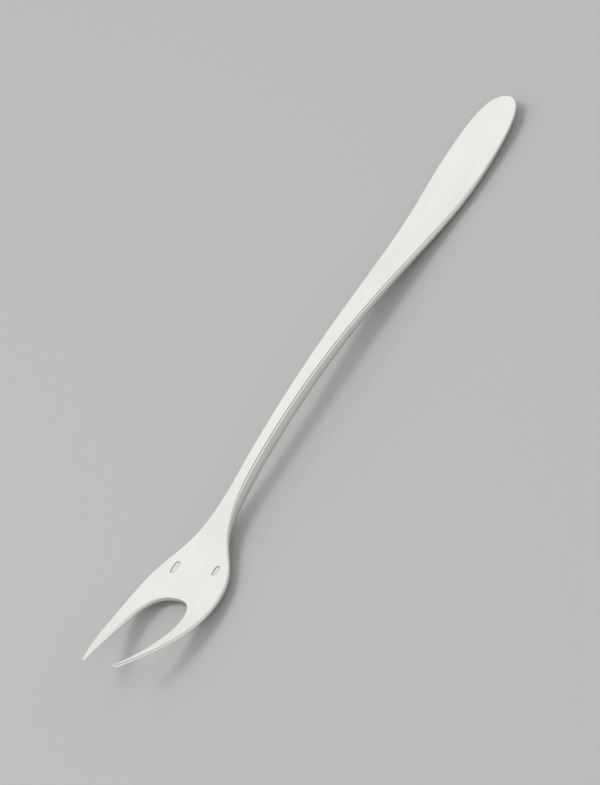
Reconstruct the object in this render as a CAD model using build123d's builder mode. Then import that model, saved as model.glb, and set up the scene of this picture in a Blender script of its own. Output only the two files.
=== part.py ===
"""Two-tined oyster fork: one forging with a flat face, a rounded belly and an arched neck.

Millimetres, +Z up. The fork lies along X, with its handle end at +X and its tine tips at -X.
The origin is on the table, under the middle of the fork's length.
"""
import os

from build123d import *

# Lengths along the fork, each from the end that it belongs to
overall_length = 150.0
handle_widest_from_end = 20.0
grip_start_from_end = 66.0
neck_from_tips = 46.0
head_start_from_tips = 38.0
head_widest_from_tips = 18.3
gap_widest_from_tips = 12.0
gap_depth = 19.7
tine_root_depth = 1.6

# Widths in plan
handle_width = 11.66
neck_width = 2.96
head_width = 19.2
gap_width = 10.9
tip_spread = 8.1
tip_width = 1.1

# The face in side view: where it is low and high, and how high above the table
heel_from_tips = 26.3
crest_from_tips = 66.4
rest_from_end = 26.5
tip_height = 9.0
crest_height = 6.3
end_height = 2.86
tine_slope = 0.44
end_slope = 0.05

# Depths from the face down to the middle of the belly
tip_depth = 0.75
heel_depth = 2.4
neck_depth = 3.3
handle_depth = 2.2
end_depth = 1.3
rest_flat = 0.1
edge_round = 0.3

# How far each curve holds the direction of its two ends, as a share of its span
end_share, end_side_share = 0.96, 0.46
grip_share, neck_side_share = 0.17, 0.62
shoulder_share, head_side_share = 0.64, 0.48
gap_root_share, gap_side_share = 0.84, 0.64
tine_share, heel_tine_share = 0.48, 0.35
heel_share, crest_heel_share = 0.17, 0.65
crest_share, rest_crest_share = 0.43, 0.27
rest_share, end_rise_share = 0.55, 0.19
thin_tine_share, thick_heel_share = 0.7, 0.1
depth_share = 0.5

# The belly's sections are this share wider than the plan that trims them
spare_share = 0.13
section_spacing = 5.0

# The largest share of a wall that a rounding may take from one side
round_limit = 0.45

# Halvings of a curve's length that find a place on it
halvings = 40

# Places along the fork
end_x = overall_length / 2
tip_x = -overall_length / 2
handle_widest_x = end_x - handle_widest_from_end
grip_start_x = end_x - grip_start_from_end
rest_x = end_x - rest_from_end
neck_x = tip_x + neck_from_tips
head_start_x = tip_x + head_start_from_tips
head_widest_x = tip_x + head_widest_from_tips
gap_widest_x = tip_x + gap_widest_from_tips
gap_root_x = tip_x + gap_depth
tine_root_x = gap_root_x - tine_root_depth
heel_x = tip_x + heel_from_tips
crest_x = tip_x + crest_from_tips

# Where the belly touches the table it is worn flat, so the face stands a little lower there
heel_height = heel_depth - rest_flat
rest_height = handle_depth - rest_flat


def level_curve(start, end, start_part, end_part):
    """Control points of a curve that is level at both of its ends."""
    run = end[0] - start[0]
    return [start, (start[0] + run * start_part, start[1]), (end[0] - run * end_part, end[1]), end]


def curve_point(points, share):
    """The point of a four-point curve at a share of its parameter."""
    left = 1 - share
    weights = (left**3, 3 * left**2 * share, 3 * left * share**2, share**3)
    return tuple(sum(w * point[axis] for w, point in zip(weights, points)) for axis in (0, 1))


def value_at(curves, x):
    """The second coordinate at x on a chain of curves that all run along +X."""
    points = next(points for points in curves if x <= points[-1][0] or points is curves[-1])
    low, high = 0.0, 1.0
    for _ in range(halvings):
        middle = (low + high) / 2
        low, high = (middle, high) if curve_point(points, middle)[0] < x else (low, middle)
    return curve_point(points, low)[1]


# The face in side view, from the tips to the handle end
tine_run = heel_x - tip_x
end_run = end_x - rest_x
face_curves = [
    [
        (tip_x, tip_height),
        (tip_x + tine_run * tine_share, tip_height - tine_run * tine_share * tine_slope),
        (heel_x - tine_run * heel_tine_share, heel_height),
        (heel_x, heel_height),
    ],
    level_curve((heel_x, heel_height), (crest_x, crest_height), heel_share, crest_heel_share),
    level_curve((crest_x, crest_height), (rest_x, rest_height), crest_share, rest_crest_share),
    [
        (rest_x, rest_height),
        (rest_x + end_run * rest_share, rest_height),
        (end_x - end_run * end_rise_share, end_height - end_run * end_rise_share * end_slope),
        (end_x, end_height),
    ],
]

# The depth of the belly, from the tips to the handle end
depth_curves = [
    level_curve((tip_x, tip_depth), (heel_x, heel_depth), thin_tine_share, thick_heel_share),
    level_curve((heel_x, heel_depth), (neck_x, neck_depth), depth_share, depth_share),
    level_curve((neck_x, neck_depth), (rest_x, handle_depth), depth_share, depth_share),
    level_curve((rest_x, handle_depth), (end_x, end_depth), depth_share, depth_share),
]

# One side of the plan between the head and the handle, where they are widest
shoulder = level_curve(
    (head_widest_x, head_width / 2), (neck_x, neck_width / 2), head_side_share, shoulder_share
)
grip = level_curve(
    (neck_x, neck_width / 2), (handle_widest_x, handle_width / 2), neck_side_share, grip_share
)


def belly_section(x):
    """The cut across the fork at x: a straight face over a belly that is round from edge to edge.

    Past the tips and the handle end the face keeps its slope and the belly its depth. The belly's
    curve reaches three quarters of the way to its two middle points.
    """
    place = min(max(x, tip_x), end_x)
    top = value_at(face_curves, place) + max(tip_x - x, 0) * tine_slope + max(x - end_x, 0) * end_slope
    half = (1 + spare_share) * value_at([shoulder, grip], min(max(x, head_widest_x), handle_widest_x))
    pull = value_at(depth_curves, place) * 4 / 3
    with BuildSketch(Plane(origin=(x, 0, top), x_dir=(0, 1, 0), z_dir=(1, 0, 0))) as section:
        with BuildLine():
            Line((-half, 0), (half, 0))
            Bezier((half, 0), (half, -pull), (-half, -pull), (-half, 0))
        make_face()
    return section.sketch


# The plan, drawn on one side of the middle line and mirrored
with BuildSketch() as plan:
    with BuildLine():
        Bezier(
            (end_x, 0),
            (end_x, end_share * handle_width / 2),
            (handle_widest_x + end_side_share * handle_widest_from_end, handle_width / 2),
            (handle_widest_x, handle_width / 2),
        )
        Bezier(*reversed(grip))
        Bezier(*reversed(shoulder))
        TangentArc((head_widest_x, head_width / 2), (tip_x, tip_spread / 2), tangent=(-1, 0))
        Line((tip_x, tip_spread / 2), (tip_x, tip_spread / 2 - tip_width))
        TangentArc(
            (gap_widest_x, gap_width / 2), (tip_x, tip_spread / 2 - tip_width), tangent=(-1, 0)
        )
        Bezier(
            (gap_widest_x, gap_width / 2),
            (gap_widest_x + gap_side_share * (gap_root_x - gap_widest_x), gap_width / 2),
            (gap_root_x, gap_root_share * gap_width / 2),
            (gap_root_x, 0),
        )
        Line((gap_root_x, 0), (end_x, 0))
    make_face()
    mirror(about=Plane.XZ)

# The whole forging: the belly's sections lofted, trimmed to the plan and eased along the face's
# edges, apart from the two blunt tips
with BuildPart() as forging:
    section_count = round(overall_length / section_spacing)
    step = overall_length / section_count
    loft([belly_section(tip_x + step * number) for number in range(-1, section_count + 2)])
    extrude(plan.sketch, amount=2 * tip_height, mode=Mode.INTERSECT, both=True)
    face = forging.faces().filter_by(lambda side: round(side.normal_at().Z) == 1)
    tip_edges = face.edges().sort_by(Axis.X)[:2]
    fillet(face.edges() - tip_edges, radius=min(edge_round, tip_depth * round_limit))
    split(bisect_by=Plane.XY, keep=Keep.TOP)

os.makedirs("parts", exist_ok=True)

# The grip: from the rounded end to where the neck takes over
with BuildPart() as handle:
    add(forging.part)
    split(bisect_by=Plane.YZ.offset(grip_start_x), keep=Keep.TOP)
handle.part.label = "handle"
export_step(handle.part, "parts/handle.step")

# The slim arched neck between the grip and the head
with BuildPart() as neck:
    add(forging.part)
    split(bisect_by=Plane.YZ.offset(grip_start_x), keep=Keep.BOTTOM)
    split(bisect_by=Plane.YZ.offset(head_start_x), keep=Keep.TOP)
neck.part.label = "neck"
export_step(neck.part, "parts/neck.step")

# The broad head, from the shoulders to the root of the gap
with BuildPart() as head:
    add(forging.part)
    split(bisect_by=Plane.YZ.offset(head_start_x), keep=Keep.BOTTOM)
    split(bisect_by=Plane.YZ.offset(tine_root_x), keep=Keep.TOP)
head.part.label = "head"
export_step(head.part, "parts/head.step")

# The two tines, left and right as seen from the handle
with BuildPart() as left_tine:
    add(forging.part)
    split(bisect_by=Plane.YZ.offset(tine_root_x), keep=Keep.BOTTOM)
    split(bisect_by=Plane.XZ, keep=Keep.TOP)
left_tine.part.label = "left_tine"
export_step(left_tine.part, "parts/left_tine.step")

with BuildPart() as right_tine:
    add(forging.part)
    split(bisect_by=Plane.YZ.offset(tine_root_x), keep=Keep.BOTTOM)
    split(bisect_by=Plane.XZ, keep=Keep.BOTTOM)
right_tine.part.label = "right_tine"
export_step(right_tine.part, "parts/right_tine.step")

for piece in (handle, neck, head, left_tine, right_tine):
    box = piece.part.bounding_box()
    print(piece.part.label, round(piece.part.volume, 1), "mm3", box.min, box.max)
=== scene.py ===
# %% [markdown]
# # An oyster fork in satin silver
# The fork is one forging: a flared flat handle, an arched neck and a broad head with two tines.
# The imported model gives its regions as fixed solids, in metres, with the tips at -X and the face up.
# The looks could be painted straight on those solids, but their flat cuts would show as hairlines
# on polished metal. So one unbroken skin is modelled here, to the same sizes, and stands for all five.

# %% Load the fixed frame
import math

import bmesh
import bpy
import numpy as np
from mathutils import Matrix, Vector
from mathutils.geometry import interpolate_bezier


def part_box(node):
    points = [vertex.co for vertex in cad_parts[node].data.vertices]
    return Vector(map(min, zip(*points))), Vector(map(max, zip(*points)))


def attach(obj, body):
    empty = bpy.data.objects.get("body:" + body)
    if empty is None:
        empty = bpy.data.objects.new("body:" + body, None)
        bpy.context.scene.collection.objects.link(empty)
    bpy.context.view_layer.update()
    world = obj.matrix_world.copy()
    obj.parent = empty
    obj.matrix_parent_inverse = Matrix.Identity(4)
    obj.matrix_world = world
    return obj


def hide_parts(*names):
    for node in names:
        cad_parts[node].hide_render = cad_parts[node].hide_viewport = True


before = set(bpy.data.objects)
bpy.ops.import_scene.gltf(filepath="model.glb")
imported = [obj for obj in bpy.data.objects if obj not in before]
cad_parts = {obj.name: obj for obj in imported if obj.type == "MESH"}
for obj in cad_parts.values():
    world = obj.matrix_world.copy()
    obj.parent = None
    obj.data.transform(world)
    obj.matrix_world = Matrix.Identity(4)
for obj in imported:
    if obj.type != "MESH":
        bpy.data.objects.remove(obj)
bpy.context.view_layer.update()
MM = 0.001


def in_mm(lengths):
    """Lengths in millimetres, rounded for printing."""
    return [round(length / MM, 2) for length in lengths]


# %% [markdown]
# ## Sizes
# A skin that is drawn from the solids' own boxes can't drift away from them, so lengths, widths
# and heights that a box shows are read there. They could be typed in again, but two copies of a size
# come apart sooner or later. The places between, such as where the neck is slimmest, don't show in
# a box and are named here in millimetres.

# %% Sizes that the solids' boxes show
handle_box, neck_box, head_box, tine_box = (
    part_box(node) for node in ("handle", "neck", "head", "right_tine")
)
end_x, handle_half = handle_box[1].x, handle_box[1].y
tip_x, tip_inner, tip_height = tine_box[0].x, tine_box[0].y, tine_box[1].z
head_half, crest_height = head_box[1].y, neck_box[1].z
print("length, handle width and head width:", in_mm([end_x - tip_x, 2 * handle_half, 2 * head_half]), "mm")

# %% Places between, and widths that no box shows
handle_widest_x = end_x - 20.0 * MM
rest_x = end_x - 26.5 * MM
crest_x = tip_x + 66.4 * MM
neck_x = tip_x + 46.0 * MM
fan_x = tip_x + 37.0 * MM
heel_x = tip_x + 26.3 * MM
gap_root_x = tip_x + 19.7 * MM
head_widest_x = tip_x + 18.3 * MM
gap_widest_x = tip_x + 12.0 * MM

neck_half = 1.48 * MM
gap_half = 5.45 * MM
tip_outer = 4.05 * MM
print("neck slimmest at x =", *in_mm([neck_x]), "mm, head widest at x =", *in_mm([head_widest_x]), "mm")

# %% [markdown]
# ## Curves
# The outline and the side view are a few long, calm curves. Most are four-point curves that hold the
# direction of each end for a share of their run, and the tines' sides are circular arcs. Blender has
# curve objects for this, but here only places on the curves are needed. So each curve is kept as
# close points, and a place on it is found by its distance or by its x.

# %% Curves between two points
CURVE_STEPS = 96


def bezier(*corners):
    """Close points on a four-point curve."""
    corners = (Vector((*corner, 0)) for corner in corners)
    return np.array(interpolate_bezier(*corners, CURVE_STEPS))[:, :2]


def sweep(start, end, start_hold, end_hold, start_slope=0.0, end_slope=0.0):
    """Close points on a curve that holds the slope of each end for a share of its run."""
    run = end[0] - start[0]
    leaving, arriving = run * start_hold, run * end_hold
    return bezier(
        start,
        (start[0] + leaving, start[1] + leaving * start_slope),
        (end[0] - arriving, end[1] - arriving * end_slope),
        end,
    )


def rounded(round_x, widest_x, half, round_hold, side_hold):
    """Close points on one side of a round end, from the middle line to where it is widest."""
    return bezier(
        (round_x, 0),
        (round_x, round_hold * half),
        (widest_x + side_hold * (round_x - widest_x), half),
        (widest_x, half),
    )


def arc(start, end):
    """Close points on a circular arc that leaves its start along the fork."""
    run, drop = start[0] - end[0], start[1] - end[1]
    radius = (run**2 + drop**2) / (2 * drop)
    angles = np.linspace(0, 2 * math.atan2(drop, run), CURVE_STEPS)
    return np.column_stack([start[0] - radius * np.sin(angles), start[1] - radius * (1 - np.cos(angles))])


print("a curve is kept as", CURVE_STEPS, "points")

# %% The outline and the gap, on one side of the middle line
END_HOLD, END_SIDE_HOLD = 0.96, 0.46
GRIP_HOLD, GRIP_NECK_HOLD = 0.17, 0.62
NECK_HOLD, HEAD_HOLD = 0.64, 0.48
GAP_ROOT_HOLD, GAP_SIDE_HOLD = 0.84, 0.64

end_round = rounded(end_x, handle_widest_x, handle_half, END_HOLD, END_SIDE_HOLD)
grip = sweep((handle_widest_x, handle_half), (neck_x, neck_half), GRIP_HOLD, GRIP_NECK_HOLD)
shoulder = sweep((neck_x, neck_half), (head_widest_x, head_half), NECK_HOLD, HEAD_HOLD)
tine_outside = arc((head_widest_x, head_half), (tip_x, tip_outer))
gap_root = rounded(gap_root_x, gap_widest_x, gap_half, GAP_ROOT_HOLD, GAP_SIDE_HOLD)
tine_inside = arc((gap_widest_x, gap_half), (tip_x, tip_inner))
print("depth and width of the gap:", in_mm([gap_root_x - tip_x, 2 * gap_half]), "mm")

# %% [markdown]
# ## The face as a grid
# The face could be one filled outline, but a flat n-gon has no rows to bend and shades badly.
# A grid keeps clean rows: its inner rail runs down the middle line and on along the gap, its outer
# rail runs round the outline, and each station is a straight line between the two. At the gap's
# root the stations fan out. At the handle's round end the first station lies on the outline itself.

# %% Places along a path
def stretch(path, first, last, steps):
    """Evenly spaced points between two shares of a path's length."""
    reached = np.concatenate([[0], np.cumsum(np.linalg.norm(np.diff(path, axis=0), axis=1))])
    wanted = np.linspace(first, last, steps + 1) * reached[-1]
    return np.column_stack([np.interp(wanted, reached, path[:, axis]) for axis in (0, 1)])


def middle(first_x, last_x):
    """A straight path on the fork's middle line."""
    return np.array([(first_x, 0), (last_x, 0)])


HEAD_SIDE_START, HEAD_SIDE_END = 0.66, 0.28
head_side = np.vstack([
    stretch(shoulder, HEAD_SIDE_START, 1, CURVE_STEPS),
    stretch(tine_outside, 0, HEAD_SIDE_END, CURVE_STEPS)[1:],
])
print("the head's side runs from x =", *in_mm(head_side[0, :1]), "to", *in_mm(head_side[-1, :1]), "mm")

# %% Pair the two rails, run by run
END_STEPS, GRIP_STEPS, NECK_STEPS, HEAD_STEPS, ROOT_STEPS, TINE_STEPS = 8, 24, 4, 8, 9, 8
END_SPLIT, FAN_SPLIT = 0.21, 0.31
inner_parts, outer_parts = [], []


def pair(steps, inner, outer, first=0, last=1):
    """Adds a run of stations, along the whole of an inner path and a part of an outer one."""
    inner_parts.append(stretch(inner, 0, 1, steps)[:-1])
    outer_parts.append(stretch(outer, first, last, steps)[:-1])


pair(END_STEPS, middle(end_x, handle_widest_x), end_round, first=END_SPLIT)
pair(GRIP_STEPS, middle(handle_widest_x, neck_x), grip)
pair(NECK_STEPS, middle(neck_x, fan_x), shoulder, last=FAN_SPLIT)
pair(HEAD_STEPS, middle(fan_x, gap_root_x), shoulder, first=FAN_SPLIT, last=HEAD_SIDE_START)
pair(ROOT_STEPS, gap_root, head_side)
pair(TINE_STEPS, tine_inside, tine_outside, first=HEAD_SIDE_END)
inner_rail = np.vstack([*inner_parts, tine_inside[-1:]])
outer_rail = np.vstack([*outer_parts, tine_outside[-1:]])

root_station = END_STEPS + GRIP_STEPS + NECK_STEPS + HEAD_STEPS
tine_station = root_station + ROOT_STEPS
stations = tine_station + TINE_STEPS
print(stations, "stations from the handle's end to the tips; the gap starts at", root_station)

# %% [markdown]
# ## Room for the smoothing
# The skin is smoothed at the end, and on a round rim that pulls each point inward, by a sixth of the
# bend between its two neighbours. A denser grid would make this too small to see, but it would be
# heavier and harder to keep calm. So each point is first pushed out by the same amount, and the
# smoothed rim then follows the outline as it was drawn.

# %% Push the rails out by what the smoothing will pull in
SMOOTHING_PULL = 1 / 6
ROWS = 3


def pushed(rail):
    """Points whose smoothed curve passes through a rail that starts on the middle line."""
    chain = np.vstack([rail[1] * (1, -1), rail])
    bend = chain[:-2] - 2 * chain[1:-1] + chain[2:]
    return np.vstack([rail[:-1] - SMOOTHING_PULL * bend, rail[-1:]])


first_station = stretch(end_round, 0, END_SPLIT, ROWS)
rim_rail = np.vstack([first_station[:-1], outer_rail])
pushed_rim = pushed(rim_rail)
first_station, outer_rail = pushed_rim[: ROWS + 1], pushed_rim[ROWS:]
inner_rail[root_station:] = pushed(inner_rail[root_station:])
print("the rim moves out by up to", *in_mm([np.abs(pushed_rim - rim_rail).max()]), "mm")

# %% [markdown]
# ## Side view and belly
# In side view the fork is a long S: the tines rise, the heel and the handle touch the table and the
# neck arches between them. The face is straight across. The belly below is round from edge to edge,
# deepest under the middle line, and each tine has a round belly of its own. Where the belly meets
# the table it is worn flat. All this could be pulled into shape by hand, but lines that are read by
# their x stay calm, and a few lengths set them.

# %% Height of the face along the fork
WORN = 0.1 * MM
TINE_SLOPE, END_SLOPE = 0.44, 0.05
TINE_HOLD, TINE_HEEL_HOLD = 0.48, 0.35
HEEL_HOLD, CREST_HEEL_HOLD = 0.17, 0.65
CREST_HOLD, REST_CREST_HOLD = 0.43, 0.27
REST_HOLD, END_RISE_HOLD = 0.55, 0.19
heel_depth, rest_depth, end_height = 2.4 * MM, 2.2 * MM, 2.86 * MM

tip, end = (tip_x, tip_height), (end_x, end_height)
heel, crest, rest = (heel_x, heel_depth - WORN), (crest_x, crest_height), (rest_x, rest_depth - WORN)
face_line = np.vstack([
    sweep(tip, heel, TINE_HOLD, TINE_HEEL_HOLD, start_slope=-TINE_SLOPE),
    sweep(heel, crest, HEEL_HOLD, CREST_HEEL_HOLD),
    sweep(crest, rest, CREST_HOLD, REST_CREST_HOLD),
    sweep(rest, end, REST_HOLD, END_RISE_HOLD, end_slope=END_SLOPE),
])
print("lowest and highest place of the face:", in_mm([face_line[:, 1].min(), face_line[:, 1].max()]), "mm")

# %% Depth of the belly along the fork
THIN_TINE_HOLD, THICK_HEEL_HOLD, BELLY_HOLD = 0.7, 0.1, 0.5
tip_depth, neck_depth, end_depth = 0.75 * MM, 3.3 * MM, 1.3 * MM

depth_line = np.vstack([
    sweep((tip_x, tip_depth), (heel_x, heel_depth), THIN_TINE_HOLD, THICK_HEEL_HOLD),
    sweep((heel_x, heel_depth), (neck_x, neck_depth), BELLY_HOLD, BELLY_HOLD),
    sweep((neck_x, neck_depth), (rest_x, rest_depth), BELLY_HOLD, BELLY_HOLD),
    sweep((rest_x, rest_depth), (end_x, end_depth), BELLY_HOLD, BELLY_HOLD),
])


def value_at(line, x):
    """The second coordinate of a line of points at x."""
    return float(np.interp(x, line[:, 0], line[:, 1]))


print("belly's depth at the gap's root:", *in_mm([value_at(depth_line, gap_root_x)]), "mm")

# %% The belly's round, across the fork
SPARE_SHARE = 0.13
EDGE_REACH = 1 / (1 + SPARE_SHARE)

# From the middle, where the depth is full, to an edge that the outline trims before it closes
belly_round = bezier((0, 1), (1 / 2, 1), (1, 2 / 3), (1, 0))


def smooth_step(share):
    """A share between 0 and 1 that leaves and arrives level."""
    share = min(max(share, 0), 1)
    return share**2 * (3 - 2 * share)


def belly_drop(station, across):
    """The share of the depth that the belly has at a station, from the inner rail to the outer."""
    on_tine = smooth_step((station - root_station) / (tine_station - root_station))
    whole = value_at(belly_round, across * EDGE_REACH)
    alone = value_at(belly_round, abs(2 * across - 1) * EDGE_REACH)
    return (1 - on_tine) * whole + on_tine * alone


print("belly at the edge and in the middle:", [round(belly_drop(0, across), 2) for across in (1, 0)])

# %% [markdown]
# ## The skin
# The grid is laid on the face, then extruded down once, which makes the walls and a copy of the
# face that is pressed into the belly. Both sides could be drawn, but only one is. The wall on the
# middle line is taken away, the rest is mirrored and the seam is merged, so the sides are exactly alike.

# %% Lay the grid on the face
bm = bmesh.new()
bmesh.ops.create_grid(bm, x_segments=stations, y_segments=ROWS, size=1)
station_layer = bm.verts.layers.float.new("station")
across_layer = bm.verts.layers.float.new("across")
for vert in bm.verts:
    station, across = round((vert.co.x + 1) / 2 * stations), (vert.co.y + 1) / 2
    vert[station_layer], vert[across_layer] = station, across
    plan = inner_rail[station] * (1 - across) + outer_rail[station] * across
    if station == 0:
        plan = first_station[round(across * ROWS)]
    vert.co = (plan[0], plan[1], value_at(face_line, plan[0]))
print("half of the face:", len(bm.faces), "polygons")

# %% Extrude the belly
extruded = bmesh.ops.extrude_face_region(bm, geom=bm.faces[:])["geom"]
for vert in (item for item in extruded if isinstance(item, bmesh.types.BMVert)):
    drop = belly_drop(vert[station_layer], vert[across_layer]) * value_at(depth_line, vert.co.x)
    vert.co.z = max(vert.co.z - drop, 0)
print("with walls and belly:", len(bm.faces), "polygons")

# %% Mirror the half
MERGE = 0.001 * MM

seam_walls = [face for face in bm.faces if all(abs(vert.co.y) < MERGE for vert in face.verts)]
bmesh.ops.delete(bm, geom=seam_walls, context="FACES")
bmesh.ops.mirror(bm, geom=bm.verts[:] + bm.edges[:] + bm.faces[:], axis="Y", merge_dist=MERGE)
bmesh.ops.remove_doubles(bm, verts=bm.verts[:], dist=MERGE)
bmesh.ops.recalc_face_normals(bm, faces=bm.faces[:])
open_edges = [edge for edge in bm.edges if not edge.is_manifold]
print("skin:", len(bm.faces), "polygons,", len(open_edges), "open edges")

# %% [markdown]
# ## Eased edges
# The face's edge on such a fork is broken with a stone, then polished, so it shows as a fine bright
# line with a dark one beside it. One round bevel would blur the two together. So the rim is cut
# twice: a flat chamfer first, then a narrow ease on both of the chamfer's own edges. The stone took
# less along the head and the wide part of the handle, so there each new point goes back toward the
# corner that it was cut from. The blunt tips keep their square ends. Creases hold the borders while
# the skin is smoothed.

# %% Find the rim
FACE_UP = 0.8


def is_face(face):
    """Whether a polygon belongs to the fork's flat face."""
    return face.normal.z > FACE_UP


def is_tip_end(face):
    """Whether a polygon belongs to the blunt end of a tine."""
    return all(vert.co.x < tip_x + MERGE for vert in face.verts)


def meets_tip_end(edge):
    """Whether an edge belongs to the blunt end of a tine."""
    return any(map(is_tip_end, edge.link_faces))


def is_rim(edge):
    """Whether an edge lies between the face and a wall along the fork."""
    return sum(map(is_face, edge.link_faces)) == 1 and not meets_tip_end(edge)


rim_corners = [vert.co.copy() for vert in bm.verts if any(map(is_rim, vert.link_edges))]
print("rim:", len(rim_corners), "corners")

# %% Cut the chamfer and ease its two borders
CHAMFER, EASE = 0.28 * MM, 0.08 * MM
eased_layer = bm.faces.layers.float.new("eased")


def is_border(edge):
    """Whether an edge lies between an eased polygon and another, and not on a tip's end."""
    kinds = {face[eased_layer] for face in edge.link_faces}
    return len(kinds) == 2 and not meets_tip_end(edge)


def flat_bevel(edges, offset):
    """Bevels edges with one flat step, marks the new polygons as eased and gives their number."""
    bevel = bmesh.ops.bevel(
        bm,
        geom=edges,
        offset=offset,
        offset_type="OFFSET",
        segments=1,
        profile=0.5,
        affect="EDGES",
        material=-1,
        clamp_overlap=False,
    )
    for face in bevel["faces"]:
        face[eased_layer] = 1
    return len(bevel["faces"])


chamfer_count = flat_bevel([edge for edge in bm.edges if is_rim(edge)], CHAMFER)
ease_count = flat_bevel([edge for edge in bm.edges if is_border(edge)], EASE)
print("broken edge:", chamfer_count, "chamfer polygons and", ease_count, "in the eases beside them")

# %% Thin the broken edge where it was stoned less
HEAD_EDGE, HANDLE_EDGE = 0.45, 0.35
full_edge_x = end_x - 38.0 * MM
edge_shares = np.array([
    (tip_x, 1),
    (gap_widest_x, 1),
    (head_widest_x, HEAD_EDGE),
    (fan_x, HEAD_EDGE),
    (neck_x, 1),
    (full_edge_x, 1),
    (handle_widest_x, HANDLE_EDGE),
    (end_x, HANDLE_EDGE),
])


def nearest_corner(place):
    """The corner of the rim that a point of the broken edge was cut from."""
    return min(rim_corners, key=lambda corner: (corner - place).length)


eased_verts = {vert for face in bm.faces if face[eased_layer] for vert in face.verts}
for vert in eased_verts:
    corner = nearest_corner(vert.co)
    vert.co = corner.lerp(vert.co, value_at(edge_shares, corner.x))
print("thinned:", len(eased_verts), "points of the broken edge")

# %% Crease the borders and the tips
FACE_CREASE, WALL_CREASE, CHAMFER_CREASE, TIP_CREASE = 1.0, 0.5, 0.5, 0.95
SHARP_ANGLE = 0.2

crease_layer = bm.edges.layers.float.new("crease_edge")
for edge in bm.edges:
    kinds = {face[eased_layer] for face in edge.link_faces}
    if meets_tip_end(edge) and not all(map(is_tip_end, edge.link_faces)):
        edge[crease_layer] = TIP_CREASE
    elif kinds == {0, 1}:
        edge[crease_layer] = FACE_CREASE if any(map(is_face, edge.link_faces)) else WALL_CREASE
    elif kinds == {1} and edge.calc_length() > CHAMFER and edge.calc_face_angle() > SHARP_ANGLE:
        edge[crease_layer] = CHAMFER_CREASE
print("creased edges:", sum(edge[crease_layer] > 0 for edge in bm.edges))

# %% [markdown]
# ## Blank punches
# Cutlery like this carries small struck marks. These two are left blank: plain bars with cut corners
# that lie along the fork, pressed less than a tenth of a millimetre deep. Each could be cut with a
# Boolean, but that leaves slivers on a smoothed skin. Instead a block of the face's polygons is joined
# into one, an inset gives it an inner ring, the ring is shaped, and two more insets step down to a
# level floor. Full creases on edges and corners keep the bar crisp while the skin round it is smoothed.

# %% Find and shape the polygon of a punch
SAME_ROW = 0.1


def face_block(place):
    """One polygon, joined from a block of the face's own round a place."""
    inner_verts = (vert for vert in bm.verts if all(map(is_face, vert.link_faces)))
    nearest = min(inner_verts, key=lambda vert: (vert.co - place).xy.length)
    around = [edge.other_vert(nearest) for edge in nearest.link_edges]
    row = [vert for vert in around if abs(vert[across_layer] - nearest[across_layer]) < SAME_ROW]
    block = dict.fromkeys(face for vert in [nearest, *row] for face in vert.link_faces)
    return bmesh.ops.dissolve_faces(bm, faces=list(block))["region"][0]


def shape_bar(face, place, half_length, half_width):
    """Moves the corners of a polygon to a bar with cut corners, which lies along the fork."""
    step = math.tau / len(face.verts)
    first = face.verts[0].co - place
    first_turn = step * round(math.atan2(first.y, first.x) / step)
    for number, vert in enumerate(face.verts):
        along, beside = math.cos(first_turn + step * number), math.sin(first_turn + step * number)
        reach = 1 / max(abs(along), abs(beside))
        vert.co.x = place.x + half_length * reach * along
        vert.co.y = place.y + half_width * reach * beside
        vert.co.z = value_at(face_line, vert.co.x)


print("the face has", sum(map(is_face, bm.faces)), "polygons to press into")

# %% Step a polygon down and keep it crisp
corner_layer = bm.verts.layers.float.new("crease_vert")


def inset(face, thickness, depth=0.0):
    """Insets one polygon, which stays the inner one, and gives the ring round it."""
    ring = bmesh.ops.inset_individual(
        bm, faces=[face], thickness=thickness, depth=depth, use_even_offset=True
    )
    return ring["faces"]


def keep_crisp(face):
    """Creases a polygon's edges and corners fully, and shades its edges as sharp."""
    for edge in face.edges:
        edge[crease_layer] = 1.0
        edge.smooth = False
    for vert in face.verts:
        vert[corner_layer] = 1.0


print("edges are creased in", crease_layer.name, "and corners in", corner_layer.name)

# %% Press both punches
PUNCH_MARGIN, PUNCH_WALL, PUNCH_DEPTH, FLOOR_RING = 0.3 * MM, 0.09 * MM, 0.08 * MM, 0.05 * MM
FLOOR_PATINA = 0.15
struck_layer = bm.faces.layers.float.new("struck")


def blank_punch(from_tips, aside, half_length, half_width):
    """Sinks a blank bar with cut corners into the face."""
    place = Vector((tip_x + from_tips, aside, 0))
    face = face_block(place)
    inset(face, PUNCH_MARGIN)
    shape_bar(face, place, half_length, half_width)
    keep_crisp(face)
    wall = inset(face, PUNCH_WALL, -PUNCH_DEPTH)
    keep_crisp(face)
    floor_ring = inset(face, FLOOR_RING)
    keep_crisp(face)
    for part in wall + floor_ring:
        part[struck_layer] = 1
    face[struck_layer] = FLOOR_PATINA
    print("punch at", in_mm(place.xy), "mm with", len(face.verts), "sides")


blank_punch(from_tips=26.3 * MM, aside=4.5 * MM, half_length=1.3 * MM, half_width=0.65 * MM)
blank_punch(from_tips=26.9 * MM, aside=-4.8 * MM, half_length=1.0 * MM, half_width=0.55 * MM)

# %% [markdown]
# ## The finished skin
# Smooth metal needs far more points than anyone would place by hand. A denser grid could hold them,
# but a Subdivision Surface modifier makes them from the few that are there. It also rounds the belly's
# lower edge, which nothing holds sharp. The piece rides on the part's one body and stands for its nodes.

# %% Make the object
SMOOTH_LEVELS = 3


def add_object(name, data):
    """A new object in the scene."""
    added = bpy.data.objects.new(name, data)
    bpy.context.scene.collection.objects.link(added)
    return added


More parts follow.
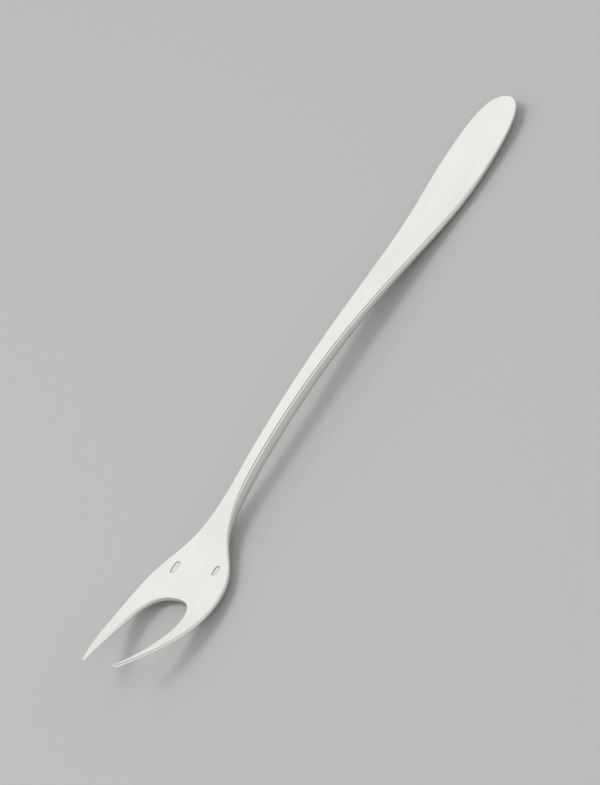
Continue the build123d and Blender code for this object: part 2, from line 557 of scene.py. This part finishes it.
for name in ("station", "across"):
    bm.verts.layers.float.remove(bm.verts.layers.float[name])
for face in bm.faces:
    face.smooth = True
skin_mesh = bpy.data.meshes.new("fork")
bm.to_mesh(skin_mesh)
bm.free()
fork = add_object("fork", skin_mesh)
smoothing = fork.modifiers.new("smooth metal", "SUBSURF")
smoothing.levels = smoothing.render_levels = SMOOTH_LEVELS

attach(fork, "root")
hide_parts("handle", "neck", "head", "left_tine", "right_tine")
print("fork:", len(skin_mesh.polygons), "polygons before the smoothing")

# %% [markdown]
# ## Satin silver
# The metal is pale and faintly warm. Its finish is a fine lengthwise polish: hairlines that run
# along the fork, a few stray scratches from use, and faint smudges. The edges are brighter, because
# hands and cloths rub them most. The belly, which no one polishes, is a little duller, and the blank
# punches hold dark patina. Noise on Object coordinates, stretched along X, draws the hairlines; a
# picture could, but it would need an unwrapped skin. The two marked kinds of polygon come as attributes.

# %% Noise along the fork
NOISE_DETAIL = 3.0

silver = bpy.data.materials.new("silver")
silver.use_nodes = True
nodes, links = silver.node_tree.nodes, silver.node_tree.links
coordinates = nodes.new("ShaderNodeTexCoord")


def stretched_noise(scale, turn=0.0):
    """Noise on Object coordinates, with its own scale on each axis and a turn about Z in degrees."""
    placing = nodes.new("ShaderNodeMapping")
    placing.vector_type = "POINT"
    placing.inputs["Scale"].default_value = scale
    placing.inputs["Rotation"].default_value = (0, 0, math.radians(turn))
    texture = nodes.new("ShaderNodeTexNoise")
    texture.inputs["Scale"].default_value = 1.0
    texture.inputs["Detail"].default_value = NOISE_DETAIL
    links.new(coordinates.outputs["Object"], placing.inputs["Vector"])
    links.new(placing.outputs["Vector"], texture.inputs["Vector"])
    return texture.outputs["Fac"]


def ramped(value, low, high):
    """A value brought to 0 at low and 1 at high, and held there."""
    ramp = nodes.new("ShaderNodeMapRange")
    ramp.inputs["From Min"].default_value = low
    ramp.inputs["From Max"].default_value = high
    links.new(value, ramp.inputs["Value"])
    return ramp.outputs["Result"]


print("silver starts with", len(nodes), "nodes")

# %% Hairlines, smudges and scratches
HAIRLINE_SCALE, HAIRLINE_RANGE = (60, 9000, 9000), (0.32, 0.68)
SMUDGE_SCALE, SMUDGE_RANGE = (70, 110, 110), (0.42, 0.66)
SCRATCH_SCALE, SCRATCH_RANGE = (260, 5200, 5200), (0.70, 0.74)
DARK_SCRATCH_TURN, ROUGH_SCRATCH_TURN = 24, -37

hairlines = ramped(stretched_noise(HAIRLINE_SCALE), *HAIRLINE_RANGE)
smudges = ramped(stretched_noise(SMUDGE_SCALE), *SMUDGE_RANGE)
dark_scratches = ramped(stretched_noise(SCRATCH_SCALE, DARK_SCRATCH_TURN), *SCRATCH_RANGE)
rough_scratches = ramped(stretched_noise(SCRATCH_SCALE, ROUGH_SCRATCH_TURN), *SCRATCH_RANGE)
print("patterns:", len(nodes), "nodes")

# %% The places that differ: belly, scuffed flats, edges and punches
BELLY_FACING, SCUFF_HEIGHTS = (-0.2, -0.8), (0.35 * MM, 0.05 * MM)


def marked(name):
    """A marked kind of polygon, as a share."""
    reader = nodes.new("ShaderNodeAttribute")
    reader.attribute_name = name
    return reader.outputs["Fac"]


facing, heights = nodes.new("ShaderNodeSeparateXYZ"), nodes.new("ShaderNodeSeparateXYZ")
links.new(coordinates.outputs["Normal"], facing.inputs["Vector"])
links.new(coordinates.outputs["Object"], heights.inputs["Vector"])
underside = ramped(facing.outputs["Z"], *BELLY_FACING)
scuffed = ramped(heights.outputs["Z"], *SCUFF_HEIGHTS)
eased, struck = marked("eased"), marked("struck")
print("with the places that differ:", len(nodes), "nodes")

# %% How dull the silver is, place by place
def weighted(start, *terms):
    """A constant plus weighted values."""
    total = None
    for value, weight in terms:
        term = nodes.new("ShaderNodeMath")
        term.operation = "MULTIPLY_ADD"
        links.new(value, term.inputs[0])
        term.inputs[1].default_value = weight
        term.inputs[2].default_value = start
        if total is not None:
            links.new(total, term.inputs[2])
        total = term.outputs["Value"]
    return total


dulling = weighted(
    0.0, (hairlines, 0.08), (smudges, 0.08), (dark_scratches, 0.1), (underside, 0.12), (eased, -0.1)
)
print("with the dulling:", len(nodes), "nodes")

# %% The silver's colour
BRIGHT, DULL, PATINA = (0.93, 0.92, 0.89, 1), (0.60, 0.575, 0.52, 1), (0.27, 0.26, 0.24, 1)
MIX_FACTOR, MIX_FIRST, MIX_SECOND, MIX_RESULT = 0, 6, 7, 2


def lay_over(tree, mask, under):
    """Gives the socket for a colour that covers another where a mask says, and the colour of both."""
    mix = tree.nodes.new("ShaderNodeMix")
    mix.data_type = "RGBA"
    tree.links.new(mask, mix.inputs[MIX_FACTOR])
    tree.links.new(under, mix.inputs[MIX_FIRST])
    return mix.inputs[MIX_SECOND], mix.outputs[MIX_RESULT]


tone = nodes.new("ShaderNodeValToRGB")
tone.color_ramp.elements[0].color = BRIGHT
tone.color_ramp.elements[1].color = DULL
links.new(dulling, tone.inputs["Fac"])
patina, colour = lay_over(silver.node_tree, struck, tone.outputs["Color"])
patina.default_value = PATINA
metal = nodes["Principled BSDF"]
metal.inputs["Metallic"].default_value = 1.0
links.new(colour, metal.inputs["Base Color"])
print("with the colour:", len(nodes), "nodes")

# %% The silver's gloss and relief
SATIN, RELIEF = 0.17, 0.001 * MM

roughness = weighted(
    SATIN,
    (hairlines, 0.07),
    (smudges, 0.05),
    (rough_scratches, 0.08),
    (underside, 0.06),
    (scuffed, 0.12),
    (struck, 0.2),
    (eased, -0.05),
)
links.new(roughness, metal.inputs["Roughness"])
relief = nodes.new("ShaderNodeBump")
relief.inputs["Strength"].default_value = 1.0
relief.inputs["Distance"].default_value = RELIEF
grooves = weighted(0.0, (hairlines, 1.0), (dark_scratches, -1.0), (rough_scratches, -1.0))
links.new(grooves, relief.inputs["Height"])
links.new(relief.outputs["Normal"], metal.inputs["Normal"])
fork.data.materials.append(silver)
print("silver:", len(nodes), "nodes")

# %% [markdown]
# ## Floor
# The fork lies on a plain pale table. A square plane could stand for it, but from a low side its
# corners would show. A wide disc has none.

# %% Lay the floor
FLOOR_RADIUS, FLOOR_SIDES = 3.0, 64
PALE_GREY, MATT, FAINT_SHEEN = (0.53, 0.53, 0.525, 1), 0.9, 0.1

floor_bm = bmesh.new()
bmesh.ops.create_circle(floor_bm, cap_ends=True, segments=FLOOR_SIDES, radius=FLOOR_RADIUS)
floor_mesh = bpy.data.meshes.new("floor")
floor_bm.to_mesh(floor_mesh)
floor_bm.free()
floor = add_object("floor", floor_mesh)
paper = bpy.data.materials.new("floor_paper")
paper.use_nodes = True
paper_finish = paper.node_tree.nodes["Principled BSDF"]
paper_finish.inputs["Base Color"].default_value = PALE_GREY
paper_finish.inputs["Roughness"].default_value = MATT
paper_finish.inputs["Specular IOR Level"].default_value = FAINT_SHEEN
floor.data.materials.append(paper)
print("floor:", len(floor_mesh.polygons), "polygon of", FLOOR_SIDES, "sides")

# %% [markdown]
# ## Studio
# Polished metal shows the room that it lies in. The room here is a bright tent that is dim only near
# the table. A large pale panel stands behind, and the whole face mirrors it. A dark card hangs high at
# one side, where only the ease beside the chamfer mirrors it, and draws the fine dark line along the
# near edge. Both could be lamps and boards, but a lamp adds to the light behind it and a board throws
# a shadow. As patches in the world's own nodes they do neither.

# %% A room whose light changes with height
ROOM_GREYS = ((0.0, 0.30), (0.10, 0.36), (0.24, 0.84), (1.0, 0.84))

world = bpy.data.worlds.new("studio")
bpy.context.scene.world = world
world.use_nodes = True
sky_nodes, sky_links = world.node_tree.nodes, world.node_tree.links
looking = sky_nodes.new("ShaderNodeTexCoord").outputs["Generated"]
looking_up = sky_nodes.new("ShaderNodeSeparateXYZ")
sky_links.new(looking, looking_up.inputs["Vector"])


def light_by_height(stops):
    """Grey light that changes with the height of the direction, from stops of height and grey."""
    ramp = sky_nodes.new("ShaderNodeValToRGB")
    while len(ramp.color_ramp.elements) < len(stops):
        ramp.color_ramp.elements.new(1.0)
    for element, (height, grey) in zip(ramp.color_ramp.elements, stops):
        element.position = height
        element.color = (grey, grey, grey, 1)
    sky_links.new(looking_up.outputs["Z"], ramp.inputs["Fac"])
    return ramp.outputs["Color"]


room = light_by_height(ROOM_GREYS)
print("room:", len(sky_nodes), "nodes")

# %% Hang the dark card and the pale panel
CARD_GREY = (0.20, 0.20, 0.20, 1)
PANEL_GREYS = ((0.0, 0.83), (0.5, 0.93), (0.75, 0.92))


def direction(azimuth, elevation):
    """A unit vector that points at an azimuth from +X and an elevation, in degrees."""
    around, above = math.radians(azimuth), math.radians(elevation)
    return Vector((math.cos(above) * math.cos(around), math.cos(above) * math.sin(around), math.sin(above)))


def round_patch(azimuth, elevation, inside, outside):
    """A mask round a direction, which fades out between two angles from it, in degrees."""
    toward = sky_nodes.new("ShaderNodeVectorMath")
    toward.operation = "DOT_PRODUCT"
    toward.inputs[1].default_value = direction(azimuth, elevation)
    edge = sky_nodes.new("ShaderNodeMapRange")
    edge.interpolation_type = "SMOOTHSTEP"
    edge.inputs["From Min"].default_value = math.cos(math.radians(outside))
    edge.inputs["From Max"].default_value = math.cos(math.radians(inside))
    sky_links.new(looking, toward.inputs[0])
    sky_links.new(toward.outputs["Value"], edge.inputs["Value"])
    return edge.outputs["Result"]


card_patch = round_patch(azimuth=5, elevation=60, inside=20, outside=34)
panel_patch = round_patch(azimuth=57, elevation=24, inside=31, outside=45)
card, room = lay_over(world.node_tree, card_patch, room)
card.default_value = CARD_GREY
panel, room = lay_over(world.node_tree, panel_patch, room)
sky_links.new(light_by_height(PANEL_GREYS), panel)
sky_links.new(room, sky_nodes["Background"].inputs["Color"])
print("studio:", len(sky_nodes), "nodes")

# %% [markdown]
# ## Key lamp
# One soft lamp high on the left throws the shadow that seats the fork on the table. So flat a face
# would mirror it as a white blaze from some sides. The lamp could be dimmed until that stops, but the
# shadow would go with it. So it keeps its strength and is hidden from mirror rays.

# %% Hang the key lamp
KEY_SIZE, KEY_DISTANCE, KEY_RADIANCE = 0.4, 1.0, 5.0
KEY_AZIMUTH, KEY_ELEVATION = 140, 66

key = bpy.data.lights.new("key", "AREA")
key.size = KEY_SIZE
key.energy = KEY_RADIANCE * math.pi * KEY_SIZE**2
key_holder = add_object("key", key)
key_direction = direction(KEY_AZIMUTH, KEY_ELEVATION)
key_holder.location = key_direction * KEY_DISTANCE
key_holder.rotation_euler = key_direction.to_track_quat("Z", "Y").to_euler()
key_holder.visible_glossy = False
print("key gives", round(key.energy, 2), "W")

# %% [markdown]
# ## Camera
# The photograph looks down on the fork from beyond its tines. Azimuth, elevation, roll and distance
# were found by matching the outline. Blender's own camera could be turned by a constraint, but three
# axes worked out from the angles are exact and stay put.

# %% Camera at the photograph's angle
AZIMUTH, ELEVATION, ROLL = (math.radians(angle) for angle in (-37.117, 35.976, -32.388))
LOOK_AT, DISTANCE, LENS = Vector((-4.112, 5.176, 0)) * MM, 480 * MM, 118.49
NEAREST_SEEN = 10 * MM

back = Vector((
    math.sin(AZIMUTH) * math.cos(ELEVATION), -math.cos(AZIMUTH) * math.cos(ELEVATION), math.sin(ELEVATION)
))
level_right = Vector((math.cos(AZIMUTH), math.sin(AZIMUTH), 0))
level_up = back.cross(level_right)
right = math.cos(ROLL) * level_right + math.sin(ROLL) * level_up
up = math.cos(ROLL) * level_up - math.sin(ROLL) * level_right
camera = add_object("camera", bpy.data.cameras.new("camera"))
camera.data.lens = LENS
camera.data.clip_start = NEAREST_SEEN
turn = Matrix((right, up, back)).transposed().to_4x4()
camera.matrix_world = Matrix.Translation(LOOK_AT + DISTANCE * back) @ turn
bpy.context.scene.camera = camera
bpy.context.scene.view_settings.view_transform = "Standard"
print("camera at", in_mm(LOOK_AT + DISTANCE * back), "mm")
